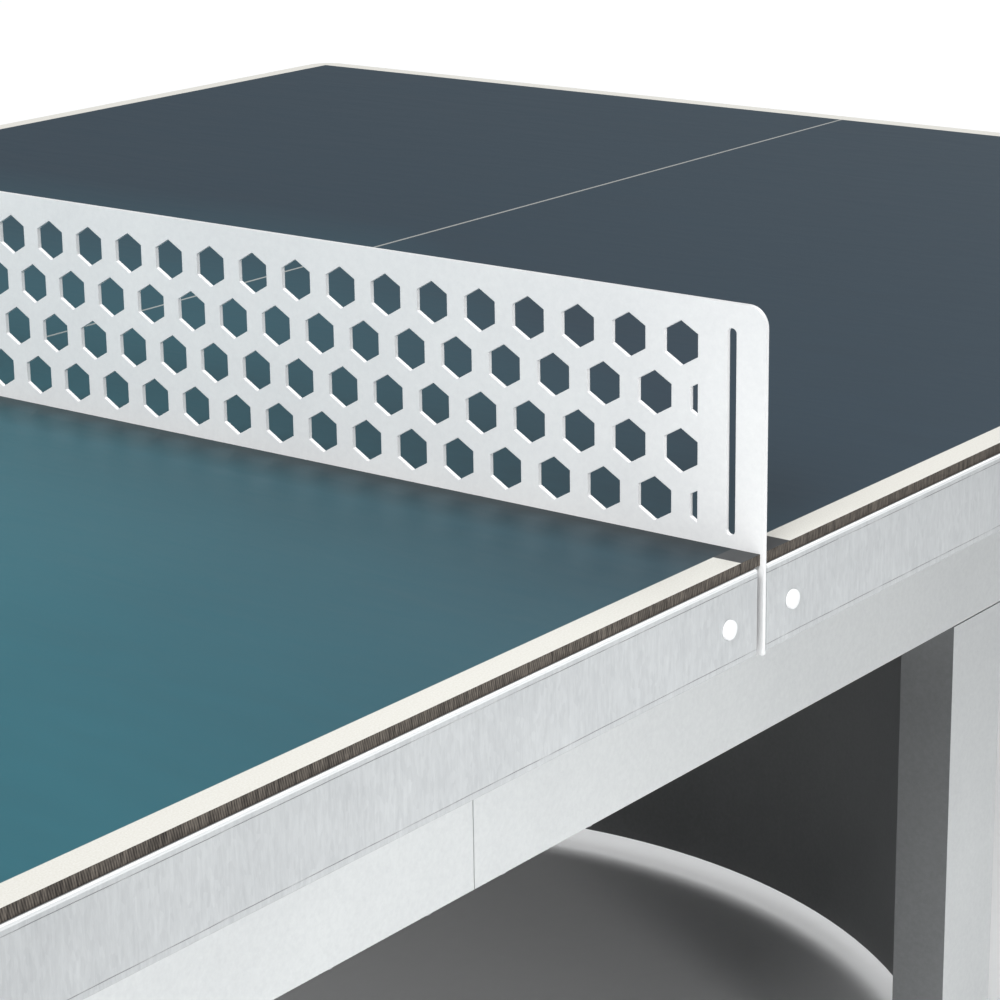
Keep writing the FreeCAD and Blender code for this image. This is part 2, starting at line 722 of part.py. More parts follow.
def made_anchor_bracket(x_side, y_side):
    """An angle on the inner flank of a post, with the hole for a ground anchor."""
    name = f"anchor_bracket_{Y_NAME[y_side]}_{X_NAME[x_side]}"
    face = size("post_inner_at") * x_side
    tip = face - size("anchor_reach") * x_side
    riser = face - size("anchor_sheet") * x_side
    corners = [(face, 0), (face, "anchor_rise"), (riser, "anchor_rise"), (riser, "anchor_sheet"),
               (tip, "anchor_sheet"), (tip, 0)]
    angle = padded(name + "_angle", "XZ_Plane", corners, "post_depth")
    low_y, high_y = span(y_side, post_back_y, "base_half_width")
    put(angle, name + "_angle", y=high_y)
    hole = drill(name + "_hole", "anchor_hole", "anchor_sheet",
                 (face - size("anchor_hole_in") * x_side, foot_y * y_side, 0))
    return cut(name, angle, hole)


def post_bore(x_side, y_side):
    """The X and Y ranges of what slides into a post's hollow."""
    slack = size("post_wall") + "post_slack"
    return (span(x_side, size("post_inner_at") + slack, post_outer_at - slack),
            span(y_side, post_back_y + slack, size("base_half_width") - slack))


def made_post_shoe(x_side, y_side):
    """The moulded shoe a post stands on, plugged into its end and open for the levelling pad."""
    name = f"post_shoe_{Y_NAME[y_side]}_{X_NAME[x_side]}"
    out_x = span(x_side, "post_inner_at", post_outer_at)
    out_y = span(y_side, post_back_y, "base_half_width")
    in_x, in_y = post_bore(x_side, y_side)
    low = size("base_low")
    sole = block(name + "_sole", (out_x[0], out_y[0], 0), (out_x[1], out_y[1], low))
    plug = block(name + "_plug", (in_x[0], in_y[0], low), (in_x[1], in_y[1], low + "shoe_plug"))
    bore = drill(name + "_bore", size("pad_radius") + "shoe_clearance", low + "shoe_plug",
                 (foot_x * x_side, foot_y * y_side, 0))
    return cut(name, join(name + "_blank", sole, plug), bore)


def made_nut_plate(x_side, y_side):
    """The plate inside a post that carries the threaded boss of its levelling foot."""
    name = f"nut_plate_{Y_NAME[y_side]}_{X_NAME[x_side]}"
    out_x, out_y = post_bore(x_side, y_side)
    boss_low = nut_plate_low + "nut_plate_thick"
    plate = block(name + "_plate", (out_x[0], out_y[0], nut_plate_low), (out_x[1], out_y[1], boss_low))
    place = (foot_x * x_side, foot_y * y_side)
    boss = rod(name + "_boss", "nut_radius", "nut_height", (*place, boss_low))
    depth = size("nut_plate_thick") + "nut_height"
    bore = drill(name + "_bore", size("stem_radius") + "stem_clearance", depth, (*place, nut_plate_low))
    return cut(name, join(name + "_blank", plate, boss), bore)


def made_foot_pad(x_side, y_side):
    """The round pad of a levelling foot, with the blind socket its stem turns in."""
    name = f"foot_pad_{Y_NAME[y_side]}_{X_NAME[x_side]}"
    place = (foot_x * x_side, foot_y * y_side)
    disc = rod(name + "_disc", "pad_radius", "pad_thick", (*place, "pad_lift"))
    socket = rod(name + "_socket", size("stem_radius") + "stem_clearance", "pad_thick",
                 (*place, size("pad_lift") + "stem_seat"))
    return cut(name, disc, socket)


def made_foot_stem(x_side, y_side):
    """The screw stem of a levelling foot."""
    name = f"foot_stem_{Y_NAME[y_side]}_{X_NAME[x_side]}"
    place = (foot_x * x_side, foot_y * y_side)
    low = size("pad_lift") + "stem_seat" + "stem_clearance"
    screw = rod(name + "_screw", "stem_radius", "stem_length", (*place, low))
    reach = size("stem_radius") + "cut_past"
    half_slot = size("stem_slot_width") / 2
    top = low + "stem_length"
    slot = block(name + "_slot", (place[0] - reach, place[1] - half_slot, top - "stem_slot_depth"),
                 (place[0] + reach, place[1] + half_slot, top + "cut_past"))
    return cut(name, screw, slot)


nodes = []
for x_side in (LEFT, RIGHT):
    nodes.append(made_tabletop(x_side))
    nodes.append(made_apron_end(x_side))
    nodes.append(made_net_rail(x_side))
    for where, at in (*bolted_beams, ("end", size("end_beam_at"))):
        nodes.append(made_cross_beam(x_side, where, at))
    nodes.append(made_end_wall(x_side))
    for y_side in (NEAR, FAR):
        nodes.append(made_apron_side(x_side, y_side))
        nodes.append(made_apron_corner(x_side, y_side))
        nodes.append(made_fascia(x_side, y_side))
        nodes.append(made_post(x_side, y_side))
        nodes.append(made_post_shoe(x_side, y_side))
        nodes.append(made_anchor_bracket(x_side, y_side))
        nodes.append(made_nut_plate(x_side, y_side))
        nodes.append(made_foot_pad(x_side, y_side))
        nodes.append(made_foot_stem(x_side, y_side))
for y_side in (NEAR, FAR):
    nodes.append(made_net_cap_bolts(y_side))
    nodes.append(made_splice_plate(y_side))
nodes.append(made_base_bolts())
nodes.append(made_splice_bolts())
nodes.append(made_net_packer())
nodes.append(made_clamp_bolts())
nodes.append(made_net_plate())

doc.recompute()

for thing in doc.Objects:
    if "Invalid" in thing.State or "Error" in thing.State:
        raise RuntimeError(f"{thing.Label} did not compute: {thing.State}")
for node in nodes:
    if node.Shape.isNull() or not node.Shape.isValid() or not node.Shape.Solids:
        raise RuntimeError(f"{node.Label} has no valid solid")

# A net plate with its perforation uncut would be heavier than its box less the whole hexagons.
net_plate = next(node for node in nodes if node.Label == "net_plate")
net_box = net_plate.Shape.BoundBox
pattern = doc.getObject("net_plate_rows")
whole_hexes = pattern.Occurrences * len(pattern.Originals[0].Profile[0].Geometry) / 6
hex_volume = SIZES["hex_flat"] ** 2 * math.sqrt(3) / 2 * SIZES["net_thick"]
if net_plate.Shape.Volume > net_box.XLength * net_box.YLength * net_box.ZLength - whole_hexes * hex_volume:
    raise RuntimeError("the net plate's holes were not all cut")

os.makedirs("parts", exist_ok=True)
for node in nodes:
    node.Shape.exportStep(f"parts/{node.Label}.step")
    box = node.Shape.BoundBox
    print(f"{node.Label:28s} solids {len(node.Shape.Solids)} x {box.XMin:8.1f} {box.XMax:8.1f} "
          f"y {box.YMin:7.1f} {box.YMax:7.1f} z {box.ZMin:6.1f} {box.ZMax:6.1f}")
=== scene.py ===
import json
import math

import bmesh
import bpy
from mathutils import Matrix, Vector

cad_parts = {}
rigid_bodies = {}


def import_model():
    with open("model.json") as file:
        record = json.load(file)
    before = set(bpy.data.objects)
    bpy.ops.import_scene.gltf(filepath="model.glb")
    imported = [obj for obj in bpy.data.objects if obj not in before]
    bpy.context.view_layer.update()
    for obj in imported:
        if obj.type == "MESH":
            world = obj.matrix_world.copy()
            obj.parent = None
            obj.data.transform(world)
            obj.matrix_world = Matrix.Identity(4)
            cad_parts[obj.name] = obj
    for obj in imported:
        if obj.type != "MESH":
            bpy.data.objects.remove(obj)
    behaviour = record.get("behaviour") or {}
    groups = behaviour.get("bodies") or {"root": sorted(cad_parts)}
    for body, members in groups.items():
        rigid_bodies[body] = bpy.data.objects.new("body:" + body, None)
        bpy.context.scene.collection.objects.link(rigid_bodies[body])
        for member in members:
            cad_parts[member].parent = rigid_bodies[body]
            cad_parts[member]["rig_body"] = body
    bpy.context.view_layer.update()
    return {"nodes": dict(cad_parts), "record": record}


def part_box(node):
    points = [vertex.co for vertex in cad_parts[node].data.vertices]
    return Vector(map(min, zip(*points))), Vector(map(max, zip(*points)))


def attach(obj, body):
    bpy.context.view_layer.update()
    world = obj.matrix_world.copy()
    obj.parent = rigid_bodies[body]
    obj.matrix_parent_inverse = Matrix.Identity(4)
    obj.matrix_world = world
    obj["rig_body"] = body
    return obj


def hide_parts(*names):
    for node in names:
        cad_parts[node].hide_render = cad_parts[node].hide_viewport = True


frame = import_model()
record = frame["record"]
slot_of = {part["node"]: part["material_slot"] for part in record["subparts"]}

# Metres, in the row's frame: X along the table, Y along the net, Z up.
MM = 0.001
top_low, top_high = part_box("tabletop_left")
right_low, right_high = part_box("tabletop_right")
apron_low, apron_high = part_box("apron_side_near_left")
net_low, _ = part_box("net_plate")
surface = top_high.z


# --- camera -----------------------------------------------------------------------------------

# Degrees: where the camera points, how far it looks down, and how far it leans.
HEADING = 37.698
DIP = 16.865
ROLL = -0.864
SENSOR_MM = 36.0
LENS_MM = 107.72
FAR_CLIP = 100.0
# Metres from the net plate's left face, the near apron's face and the playing surface.
CAMERA_LEFT_OF_NET = 1.45317
CAMERA_BEFORE_APRON = 0.92242
CAMERA_ABOVE_TOP = 0.55680


def add_camera():
    """A long lens over the near left corner, looking down at the near end of the net."""
    heading, dip, roll = math.radians(HEADING), math.radians(DIP), math.radians(ROLL)
    ahead = Vector((math.cos(heading) * math.cos(dip), math.sin(heading) * math.cos(dip), -math.sin(dip)))
    across = ahead.cross(Vector((0, 0, 1))).normalized()
    above = across.cross(ahead)
    right = across * math.cos(roll) + above * math.sin(roll)
    up = above * math.cos(roll) - across * math.sin(roll)
    data = bpy.data.cameras.new("camera")
    data.sensor_width = SENSOR_MM
    data.lens = LENS_MM
    data.clip_end = FAR_CLIP
    camera = bpy.data.objects.new("camera", data)
    camera.matrix_world = Matrix((
        (right.x, up.x, -ahead.x, net_low.x - CAMERA_LEFT_OF_NET),
        (right.y, up.y, -ahead.y, apron_low.y - CAMERA_BEFORE_APRON),
        (right.z, up.z, -ahead.z, surface + CAMERA_ABOVE_TOP),
        (0, 0, 0, 1)))
    bpy.context.scene.collection.objects.link(camera)
    bpy.context.scene.camera = camera


add_camera()


# --- shader helpers ---------------------------------------------------------------------------

PAINT_EDGE = 0.0003
BEVEL_SAMPLES = 4


class Shader:
    """A material's node tree with short calls for the nodes used here."""

    def __init__(self, name):
        self.material = bpy.data.materials.new(name)
        self.material.use_nodes = True
        self.tree = self.material.node_tree
        self.surface = self.tree.nodes["Principled BSDF"]
        self.place = self.tree.nodes.new("ShaderNodeTexCoord").outputs["Object"]

    def feed(self, socket, value):
        if isinstance(value, bpy.types.NodeSocket):
            self.tree.links.new(value, socket)
        else:
            socket.default_value = value

    def set(self, **inputs):
        for name, value in inputs.items():
            self.feed(self.surface.inputs[name.replace("_", " ")], value)

    def node(self, kind, inputs, output, **settings):
        made = self.tree.nodes.new(kind)
        for name, value in settings.items():
            setattr(made, name, value)
        for name, value in inputs.items():
            self.feed(made.inputs[name], value)
        return made.outputs[output]

    def math(self, operation, a, b=0.0, c=0.0):
        return self.node("ShaderNodeMath", {0: a, 1: b, 2: c}, 0, operation=operation)

    def add(self, a, b):
        return self.math("ADD", a, b)

    def minus(self, a, b):
        return self.math("SUBTRACT", a, b)

    def times(self, a, b):
        return self.math("MULTIPLY", a, b)

    def most(self, a, b):
        return self.math("MAXIMUM", a, b)

    def magnitude(self, a):
        return self.math("ABSOLUTE", a)

    def axes(self, vector):
        split = self.tree.nodes.new("ShaderNodeSeparateXYZ")
        self.feed(split.inputs[0], vector)
        return split.outputs

    def stretched(self, scale, vector=None):
        return self.node("ShaderNodeMapping", {"Vector": vector or self.place, "Scale": scale}, 0)

    def noise(self, vector, scale, detail=4.0, rough=0.55, distort=0.0):
        inputs = {"Vector": vector, "Scale": scale, "Detail": detail,
                  "Roughness": rough, "Distortion": distort}
        return self.node("ShaderNodeTexNoise", inputs, "Fac")

    def cells(self, vector, scale):
        return self.node("ShaderNodeTexVoronoi", {"Vector": vector, "Scale": scale}, "Color")

    def levels(self, value, low, high, out_low=0.0, out_high=1.0):
        inputs = {"Value": value, "From Min": low, "From Max": high, "To Min": out_low, "To Max": out_high}
        return self.node("ShaderNodeMapRange", inputs, 0)

    def beyond(self, value, at, soft=PAINT_EDGE):
        """0 below a value and 1 above it, with a soft edge."""
        return self.levels(value, at - soft, at + soft)

    def band(self, value, low, high, soft):
        """1 between low and high, with soft edges."""
        rise = self.beyond(value, low, soft)
        fall = self.beyond(value, high, soft)
        return self.minus(rise, fall)

    def mix(self, factor, a, b):
        return self.node("ShaderNodeMix", {"Factor": factor, 6: a, 7: b}, 2, data_type="RGBA")

    def scaled(self, colour, value):
        """A colour made lighter or darker by a value near 1."""
        return self.node("ShaderNodeVectorMath", {0: colour, "Scale": value}, 0, operation="SCALE")

    def bump(self, height, strength, distance, normal=None):
        inputs = {"Height": height, "Strength": strength, "Distance": distance}
        if normal:
            inputs["Normal"] = normal
        return self.node("ShaderNodeBump", inputs, 0)

    def rounded_edges(self, radius):
        return self.node("ShaderNodeBevel", {"Radius": radius}, 0, samples=BEVEL_SAMPLES)


def rgb(red, green, blue):
    """A linear colour from 0 to 255 display values."""
    def linear(level):
        level = level / 255
        return level / 12.92 if level <= 0.04045 else ((level + 0.055) / 1.055) ** 2.4
    return (linear(red), linear(green), linear(blue), 1.0)


# --- materials --------------------------------------------------------------------------------

# The top's colour runs from teal at the near left to slate at the right; the slate side is painted sheen and
# shade.
TEAL = rgb(48, 101, 113)
SLATE = rgb(38, 57, 70)
# Painted shadow: the left half is darker at the net's foot, up to this distance from the net's middle.
NET_SHADE_FROM = 0.006
NET_SHADE_TO = 0.054
NET_SHADE_DARKEST = 0.28
# Pitch of the cutter marks on the laminate's milled edge.
TOOTH = 0.0017
LINE = 0.020
CENTRE_LINE = 0.003
CENTRE_LINE_COVER = 0.45
# Pressed lines in the aprons, and the painted shade line in the joint between an apron and the laminate.
GROOVE_HALF = 0.00022
GROOVE_SOFT = 0.00016
GROOVE_WANDER = 0.0006
JOINT_FROM = 0.0008
JOINT_TO = 0.0012


def laminate(name, low, high, paint_to):
    """Painted top with white lines over a dark resin core.

    paint_to is where the white lines stop by the net.
    """
    shader = Shader(name)
    x, y, z = shader.axes(shader.place)
    fine = shader.noise(shader.place, 900.0, 3.0)
    cloud = shader.noise(shader.place, 3.5, 3.0)
    scuff = shader.noise(shader.stretched((60.0, 9.0, 1.0)), 1.0, 6.0, 0.65, 0.8)
    # Painted sheen and shade: the top is coloured from teal towards slate across it.
    diagonal = shader.minus(shader.times(x, 0.8), shader.times(y, 0.6))
    painted_sheen = shader.add(diagonal, shader.times(shader.minus(cloud, 0.5), 0.10))
    painted_sheen = shader.most(shader.levels(painted_sheen, 0.0, 0.52), shader.levels(x, -0.10, 0.65))
    blue = shader.mix(painted_sheen, TEAL, SLATE)
    blue = shader.scaled(blue, shader.levels(scuff, 0.3, 0.8, 0.96, 1.05))

    outer_end = low.x if abs(low.x) > abs(high.x) else high.x
    along = shader.magnitude(x)
    across = shader.magnitude(y)
    by_net = shader.levels(along, abs(paint_to) - PAINT_EDGE, abs(paint_to) + PAINT_EDGE, 1.0, 0.0)
    side_line = shader.beyond(across, high.y - LINE)
    end_line = shader.beyond(along, abs(outer_end) - LINE)
    centre = shader.minus(1.0, shader.beyond(across, CENTRE_LINE / 2))
    line = shader.most(side_line, end_line)
    line = shader.most(line, shader.times(centre, CENTRE_LINE_COVER))
    line = shader.times(line, shader.minus(1.0, by_net))
    white = shader.mix(shader.levels(fine, 0.35, 0.65), rgb(218, 216, 208), rgb(228, 227, 221))
    # Painted shadow of the net on the left half, darkest at the net's foot.
    foot = shader.levels(along, NET_SHADE_FROM, NET_SHADE_TO, NET_SHADE_DARKEST, 1.0)
    blue = shader.scaled(blue, foot if low.x < 0 else 1.0)
    bare = shader.mix(shader.levels(cloud, 0.3, 0.7), rgb(58, 60, 62), rgb(68, 70, 72))
    face = shader.mix(line, blue, white)
    face = shader.mix(shader.times(by_net, side_line), face, bare)

    normals = shader.node("ShaderNodeNewGeometry", {}, "Normal")
    upward = shader.levels(shader.axes(normals)[2], 0.45, 0.55)
    ragged = shader.noise(shader.stretched((1100.0, 1100.0, 60.0)), 1.0, 3.0, 0.7)
    along_edge = shader.add(shader.add(x, y), shader.times(z, 0.25))
    comb = shader.math("SINE", shader.times(along_edge, 2 * math.pi / TOOTH))
    teeth = shader.add(shader.times(comb, 0.10), ragged)
    patches = shader.noise(shader.stretched((90.0, 90.0, 300.0)), 1.0, 3.0)
    brown = shader.mix(shader.levels(teeth, 0.35, 0.68), rgb(48, 44, 41), rgb(112, 105, 97))
    brown = shader.scaled(brown, shader.levels(patches, 0.3, 0.7, 0.82, 1.12))
    shader.set(Base_Color=shader.mix(upward, brown, face))

    gloss = shader.levels(shader.add(scuff, shader.times(cloud, 0.4)), 0.4, 1.1, 0.40, 0.50)
    shader.set(Roughness=shader.add(gloss, shader.levels(upward, 0.0, 1.0, 0.28, 0.0)))
    soft = shader.rounded_edges(0.0004)
    grain = shader.bump(fine, 0.10, 0.0002, soft)
    milled = shader.bump(teeth, shader.levels(upward, 0.0, 1.0, 0.6, 0.0), 0.0004, grain)
    shader.set(Normal=milled, Specular_IOR_Level=0.2)
    return shader.material


def galvanised(name, grooves=(), bead=None):
    """Hot-dip zinc: cloudy spangle drawn out upright, with pressed lines at the given heights.

    bead is the height above which the bend is glossier and gets a painted highlight, up to a painted shade
    line at the joint with the laminate.
    """
    shader = Shader(name)
    x, y, z = shader.axes(shader.place)
    flakes = shader.cells(shader.stretched((1.0, 1.0, 0.35)), 480.0)
    flake = shader.axes(flakes)[0]
    smear = shader.noise(shader.stretched((1.0, 1.0, 0.12)), 420.0, 5.0, 0.7, 0.6)
    patch = shader.noise(shader.place, 22.0, 4.0, 0.6)
    grit = shader.noise(shader.place, 1400.0, 2.0)
    tone = shader.add(shader.times(smear, 0.62), shader.times(flake, 0.14))
    tone = shader.add(tone, shader.times(patch, 0.30))
    colour = shader.mix(shader.levels(tone, 0.34, 0.76), rgb(177, 180, 182), rgb(199, 202, 203))
    soft = shader.rounded_edges(0.0006)
    height = shader.add(shader.times(smear, 0.6), shader.times(grit, 0.4))
    normal = shader.bump(height, 0.16, 0.0005, soft)
    for groove in grooves:
        wander = shader.times(shader.minus(patch, 0.5), GROOVE_WANDER)
        at = shader.add(z, wander)
        line = shader.band(at, groove - GROOVE_HALF, groove + GROOVE_HALF, GROOVE_SOFT)
        gaps = shader.levels(shader.noise(shader.place, 34.0, 3.0), 0.34, 0.52, 0.15, 0.85)
        broken = shader.times(line, gaps)
        colour = shader.mix(broken, colour, rgb(112, 114, 117))
        normal = shader.bump(shader.minus(1.0, line), 0.5, 0.0004, normal)
    rough = shader.levels(tone, 0.35, 0.75, 0.50, 0.62)
    if bead:
        # Painted highlight on the apron's top bend, where the roughness is also lower.
        gloss_and_painted_highlight = shader.beyond(z, bead)
        colour = shader.mix(shader.times(gloss_and_painted_highlight, 0.85), colour, rgb(232, 234, 235))
        rough = shader.minus(rough, shader.times(gloss_and_painted_highlight, 0.22))
        side_y, end_x = top_high.y, right_high.x
        long_joint = shader.levels(shader.magnitude(y), side_y + JOINT_FROM, side_y + JOINT_TO, 1.0, 0.0)
        end_joint = shader.levels(shader.magnitude(x), end_x + JOINT_FROM, end_x + JOINT_TO, 1.0, 0.0)
        # Painted shade: a near-black line on the bend where the apron meets the laminate's edge.
        joint = shader.times(shader.times(long_joint, end_joint), gloss_and_painted_highlight)
        colour = shader.mix(shader.times(joint, 0.9), colour, rgb(40, 40, 41))
    shader.set(Base_Color=colour, Metallic=0.25, Normal=normal, Roughness=rough)
    return shader.material


def powder_coat(name, dark, light, roughness, peel=0.10, fleck=0.0):
    """Baked powder coat: fine orange peel, faint tone clouds and, if asked, a fine pale fleck."""
    shader = Shader(name)
    cloud = shader.noise(shader.place, 7.0, 4.0)
    grain = shader.noise(shader.place, 260.0, 4.0, 0.65)
    peeled = shader.noise(shader.place, 620.0, 2.0)
    tone = shader.add(shader.times(cloud, 0.6), shader.times(grain, 0.4 + fleck))
    colour = shader.mix(shader.levels(tone, 0.35, 0.7 + fleck * 0.4), dark, light)
    soft = shader.rounded_edges(0.0006)
    shader.set(Base_Color=colour, Normal=shader.bump(peeled, peel, 0.0004, soft))
    shader.set(Roughness=shader.levels(grain, 0.3, 0.7, roughness - 0.03, roughness + 0.04))
    return shader.material


def inside_shaded_coat(name, side_x, side_y):
    """Powder coat that is light on outward faces and has painted shade on faces that look into the base.

    side_x and side_y say which way is out; side_y is 0 for a wall that spans both sides.
    """
    shader = Shader(name)
    across, along, _ = shader.axes(shader.node("ShaderNodeNewGeometry", {}, "Normal"))
    outward = shader.add(shader.times(across, side_x), shader.times(along, side_y))
    outside = shader.levels(outward, -0.1, 0.1)
    cloud = shader.noise(shader.place, 7.0, 4.0)
    grain = shader.noise(shader.place, 260.0, 4.0, 0.65)
    blend = shader.add(shader.times(cloud, 0.5), shader.times(grain, 0.5))
    tone = shader.levels(blend, 0.35, 0.7)
    light = shader.mix(tone, rgb(204, 207, 208), rgb(218, 221, 221))
    # The dark copy of the grey coat is painted shade on the faces that look into the base.
    dark = shader.mix(tone, rgb(118, 120, 121), rgb(134, 136, 137))
    shader.set(Base_Color=shader.mix(outside, dark, light))
    peeled = shader.noise(shader.place, 620.0, 2.0)
    shader.set(Normal=shader.bump(peeled, 0.14, 0.0004, shader.rounded_edges(0.0006)))
    shader.set(Roughness=shader.levels(grain, 0.3, 0.7, 0.46, 0.54))
    return shader.material


def zinc_plate(name):
    """Bright zinc on fasteners, brushed by handling."""
    shader = Shader(name)
    wipe = shader.noise(shader.stretched((1.0, 1.0, 0.2)), 420.0, 4.0, 0.7)
    cloud = shader.noise(shader.place, 90.0, 3.0)
    colour = shader.mix(shader.levels(wipe, 0.3, 0.7), rgb(160, 160, 164), rgb(204, 205, 208))
    shader.set(Base_Color=colour, Metallic=1.0, Roughness=shader.levels(cloud, 0.3, 0.7, 0.26, 0.42))
    shader.set(Normal=shader.bump(wipe, 0.08, 0.0002))
    return shader.material


def moulded(name, dark, light, roughness):
    """Matt moulded plastic or rubber with a spark-eroded grain and dusty high spots."""
    shader = Shader(name)
    grain = shader.noise(shader.place, 1500.0, 3.0, 0.6)
    dust = shader.noise(shader.place, 40.0, 5.0, 0.6)
    colour = shader.mix(shader.levels(dust, 0.35, 0.75), dark, light)
    shader.set(Base_Color=colour, Roughness=shader.levels(dust, 0.3, 0.7, roughness - 0.06, roughness + 0.08))
    shader.set(Normal=shader.bump(grain, 0.3, 0.0002, shader.rounded_edges(0.0008)))
    return shader.material


GROOVE_BELOW_TOP = 0.005
GROOVE_ABOVE_FOOT = 0.0042
BEAD_HEIGHT = 0.0022
# How far the white lines stop short of each half's end at the net.
LINE_STOP_LEFT = 0.0208
LINE_STOP_RIGHT = 0.0300
paint_end_left = top_high.x - LINE_STOP_LEFT
paint_end_right = right_low.x + LINE_STOP_RIGHT

zinc = zinc_plate("zinc_plate")
finish = {
    "galvanised": galvanised("galvanised"),
    "white_paint": powder_coat("white_powder_coat", rgb(226, 227, 228), rgb(238, 239, 239), 0.42),
    "grey_paint": powder_coat("grey_powder_coat", rgb(204, 207, 208), rgb(218, 221, 221), 0.48, 0.14, 0.3),
    "black_paint": powder_coat("black_powder_coat", rgb(22, 22, 23), rgb(34, 34, 35), 0.45, 0.16),
    "black_plastic": moulded("black_plastic", rgb(20, 20, 21), rgb(38, 38, 39), 0.55),
    "black_rubber": moulded("black_rubber", rgb(24, 24, 24), rgb(44, 43, 42), 0.78),
    "zinc_bolt": zinc,
}
grooves = (apron_high.z - GROOVE_BELOW_TOP, apron_low.z + GROOVE_ABOVE_FOOT)
apron_zinc = galvanised("galvanised_apron", grooves, apron_high.z - BEAD_HEIGHT)
tops = {
    "tabletop_left": laminate("laminate_left", top_low, top_high, paint_end_left),
    "tabletop_right": laminate("laminate_right", right_low, right_high, paint_end_right),
}


def outward_coat(node):
    """The coat with painted shade on inward faces, for a post or an end wall on the side of the table it
    stands on.
    """
    low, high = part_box(node)
    side_x = 1 if low.x + high.x > 0 else -1
    side_y = 0 if node.startswith("end_wall") else math.copysign(1, low.y + high.y)
    return inside_shaded_coat(f"coat_{node}", side_x, side_y)


def paint(thing, material):
    thing.data.materials.clear()
    thing.data.materials.append(material)


for node, thing in frame["nodes"].items():
    if node in tops:
        paint(thing, tops[node])
    elif node.startswith("apron_") and "bolts" not in node:
        paint(thing, apron_zinc)
    # Posts and end walls get painted shade on their inward faces.
    elif node.startswith(("end_wall", "post_near", "post_far")):
        paint(thing, outward_coat(node))
    else:
        paint(thing, finish[slot_of[node]])


# --- fasteners --------------------------------------------------------------------------------

WELD = 1e-6
CAP_THICK = 3.5 * MM
M8 = 4.0 * MM
M8_PITCH = 1.25 * MM
M10 = 5.0 * MM
M10_PITCH = 1.5 * MM
M12_PITCH = 1.75 * MM
M12_DEPTH = 1.0 * MM
HEAD_THICK = 5.3 * MM
NUT_THICK = 6.5 * MM
CLAMP_HEAD_THICK = 6.0 * MM
SHARP_ANGLE = 32


def islands(node):
    """The box of every separate solid in a CAD node, as (low, high)."""
    mesh = bmesh.new()
    mesh.from_mesh(frame["nodes"][node].data)
    bmesh.ops.remove_doubles(mesh, verts=mesh.verts, dist=WELD)
    left = set(mesh.verts)
    boxes = []
    while left:
        reached = [left.pop()]
        found = []
        while reached:
            vert = reached.pop()
            found.append(vert.co.copy())
            for edge in vert.link_edges:
                other = edge.other_vert(vert)
                if other in left:
                    left.remove(other)
                    reached.append(other)
        low = Vector([min(p[i] for p in found) for i in range(3)])
        high = Vector([max(p[i] for p in found) for i in range(3)])
        boxes.append((low, high))
    mesh.free()
    return sorted(boxes, key=lambda box: tuple(box[0]))


def turned(mesh, rings, steps, place, radius_at=None):
    """Add a closed turned form from (radius, height) rings; radius_at can change a radius by angle."""
    loops = []
    for radius, height in rings:
        loop = []
        for step in range(steps):
            angle = 2 * math.pi * step / steps
            r = radius_at(radius, height, angle) if radius_at else radius
            loop.append(mesh.verts.new(place @ Vector((r * math.cos(angle), r * math.sin(angle), height))))
        loops.append(loop)
    for lower, upper in zip(loops, loops[1:]):
        for i in range(steps):
            j = (i + 1) % steps
            mesh.faces.new((lower[i], lower[j], upper[j], upper[i]))
    mesh.faces.new(list(reversed(loops[0])))
    mesh.faces.new(loops[-1])


def six_sided(across_corners):
    """A radius rule that keeps a form inside a hexagon."""
    flat = across_corners * math.cos(math.pi / 6)

    def rule(radius, height, angle):
        from_flat = (angle + math.pi / 6) % (math.pi / 3) - math.pi / 6
        return min(radius, flat / math.cos(from_flat))
    return rule


def hexagon_head(mesh, across_corners, thickness, place, chamfer=0.0009):
    flat = across_corners * math.cos(math.pi / 6)
    rings = [(flat * 0.97, 0), (across_corners, chamfer), (across_corners, thickness - chamfer),
             (flat * 0.97, thickness)]
    turned(mesh, rings, 72, place, six_sided(across_corners))


def threaded_rod(mesh, radius, length, pitch, place, depth=0.0007):
    """A rod with a real helical thread and a chamfered tip."""
    def rule(ring_radius, height, angle):
        turn = (height / pitch - angle / (2 * math.pi)) % 1.0
        crest = abs(turn - 0.5) * 2
        return ring_radius - depth * crest
    rings = []
    steps = max(8, round(length / pitch * 8))
    for step in range(steps + 1):
        height = length * step / steps
        tip = min(1.0, (length - height) / 0.0015)
        rings.append((radius * (0.82 + 0.18 * tip), height))
    turned(mesh, rings, 36, place, rule)


def finished(mesh, name, material, body, *nodes):
    """Turn the built mesh into a piece that stands for CAD nodes."""
    bmesh.ops.recalc_face_normals(mesh, faces=mesh.faces)
    data = bpy.data.meshes.new(name)
    mesh.to_mesh(data)
    mesh.free()
    data.polygons.foreach_set("use_smooth", [True] * len(data.polygons))
    data.set_sharp_from_angle(angle=math.radians(SHARP_ANGLE))
    data.materials.append(material)
    piece = bpy.data.objects.new(name, data)
    bpy.context.scene.collection.objects.link(piece)
    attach(piece, body)
    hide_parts(*nodes)


def facing(place, direction):
    """A frame at a point whose Z runs along a direction."""
    turn = Vector((0, 0, 1)).rotation_difference(Vector(direction)).to_matrix().to_4x4()
    return Matrix.Translation(place) @ turn


def foot_of(low, high):
    """The middle of a box's lowest face."""
    return Vector(((low.x + high.x) / 2, (low.y + high.y) / 2, low.z))


def shank_and_nut(mesh, low, high, corners, nut_thick):
    """An upright bolt's threaded shank above its head, and the nut at its top."""
    centre = foot_of(low, high)
    shank = Matrix.Translation(centre + Vector((0, 0, HEAD_THICK)))
    threaded_rod(mesh, M8, high.z - low.z - HEAD_THICK, M8_PITCH, shank)
    nut = Matrix.Translation(Vector((centre.x, centre.y, high.z - NUT_THICK)))
    hexagon_head(mesh, corners, nut_thick, nut)


